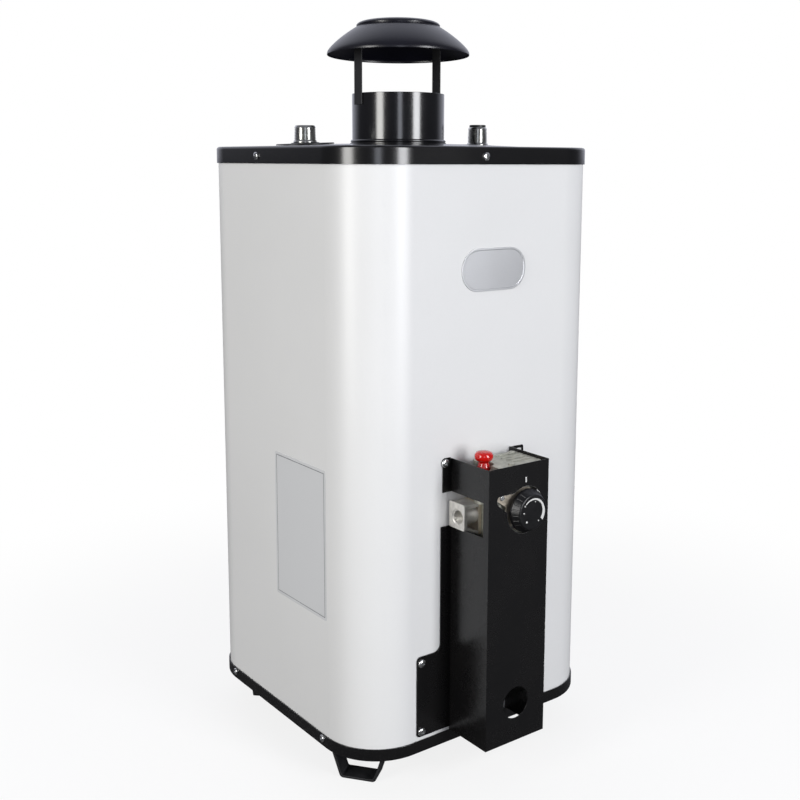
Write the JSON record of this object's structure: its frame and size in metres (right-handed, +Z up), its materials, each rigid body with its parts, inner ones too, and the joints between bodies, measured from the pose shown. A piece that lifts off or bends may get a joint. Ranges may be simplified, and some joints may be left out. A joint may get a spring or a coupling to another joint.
{
  "type": "gas storage water heater",
  "caption": "Gas storage water heater: square painted jacket on strap feet, flue collar under a rain hat, pipe nipples, and a front gas valve with dial and button in a folded cover.",
  "frame": {"origin": "on the floor under the feet, at the centre of the whole heater's bounding box", "axes": "+Z up, -Y towards the front with the gas valve, +X towards the cold-water side"},
  "size_m": [0.4274, 0.4622, 0.913],
  "materials": {
    "jacket_paint": "satin light grey",
    "black_paint": "semi-gloss black",
    "black_enamel": "gloss black",
    "matt_black": "matt black",
    "foot_steel": "dark coated strap",
    "zinc_steel": "zinc-plated",
    "pipe_steel": "bright threaded pipe",
    "tank_steel": "enamelled steel",
    "sheet_steel": "aluminised sheet",
    "die_cast": "as cast",
    "plate_steel": "bright pressed sheet",
    "aluminium_tube": "drawn tube",
    "copper_line": "drawn copper line",
    "brass": "machined",
    "magnesium": "extruded rod",
    "foam": "mineral blanket",
    "dial_plastic": "satin black",
    "red_plastic": "gloss red",
    "disc_plastic": "satin black",
    "white_plastic": "plain",
    "liner_plastic": "dark liner",
    "drain_plastic": "plain",
    "mica": "clear"
  },
  "bodies": {
    "heater": {"jacket": "jacket_paint", "top_cap": "black_paint", "bottom_tray": "black_paint", "rain_hat": "black_paint", "valve_shroud": "black_paint", "flue_collar": "black_enamel", "hat_strap_left": "matt_black", "hat_strap_right": "matt_black", "foot_front_left": "foot_steel", "foot_front_right": "foot_steel", "foot_rear_left": "foot_steel", "foot_rear_right": "foot_steel", "burner_bracket": "foot_steel", "cap_screws": "zinc_steel", "tray_screws": "zinc_steel", "shroud_screws": "zinc_steel", "front_plate_screws": "zinc_steel", "button_spring": "zinc_steel", "hot_nipple": "pipe_steel", "cold_nipple": "pipe_steel", "tank_shell": "tank_steel", "tank_top_head": "tank_steel", "tank_bottom_head": "tank_steel", "flue_tube": "tank_steel", "combustion_skirt": "sheet_steel", "access_door": "sheet_steel", "heat_shield": "sheet_steel", "flue_baffle": "sheet_steel", "main_burner": "sheet_steel", "pilot_burner": "sheet_steel", "valve_body": "die_cast", "valve_top_cover": "die_cast", "inlet_block": "die_cast", "valve_front_plate": "plate_steel", "valve_side_plate": "plate_steel", "main_gas_tube": "aluminium_tube", "pilot_tube": "aluminium_tube", "thermocouple_lead": "copper_line", "gas_tube_nuts": "brass", "thermostat_shank": "brass", "drain_body": "brass", "anode_rod": "magnesium", "insulation": "foam", "hot_escutcheon": "disc_plastic", "cold_escutcheon": "disc_plastic", "front_badge": "white_plastic", "drain_escutcheon": "white_plastic", "dip_tube": "liner_plastic", "sight_glass": "mica"},
    "dial": {"dial_knob": "dial_plastic", "dial_spindle": "zinc_steel"},
    "button": {"pilot_button": "red_plastic", "button_stem": "zinc_steel"},
    "drain_tap": {"drain_lever": "drain_plastic", "drain_lever_screw": "zinc_steel"}
  },
  "joints": [
    {"name": "dial_turn", "type": "hinge", "parent": "heater", "child": "dial", "pos_m": [-0.02558, -0.22507, 0.3405], "axis": [0, -1, 0], "range_deg": [0, 270]},
    {"name": "button_press", "type": "slide", "parent": "heater", "child": "button", "axis": [0, 0, -1], "range_m": [0, 0.005], "stiffness_N_per_m": 400, "springref_m": -0.004, "deforming": ["button_spring"]},
    {"name": "drain_turn", "type": "hinge", "parent": "heater", "child": "drain_tap", "pos_m": [0.20842, 0.03893, 0.19], "axis": [1, 0, 0], "range_deg": [0, 90]}
  ]
}
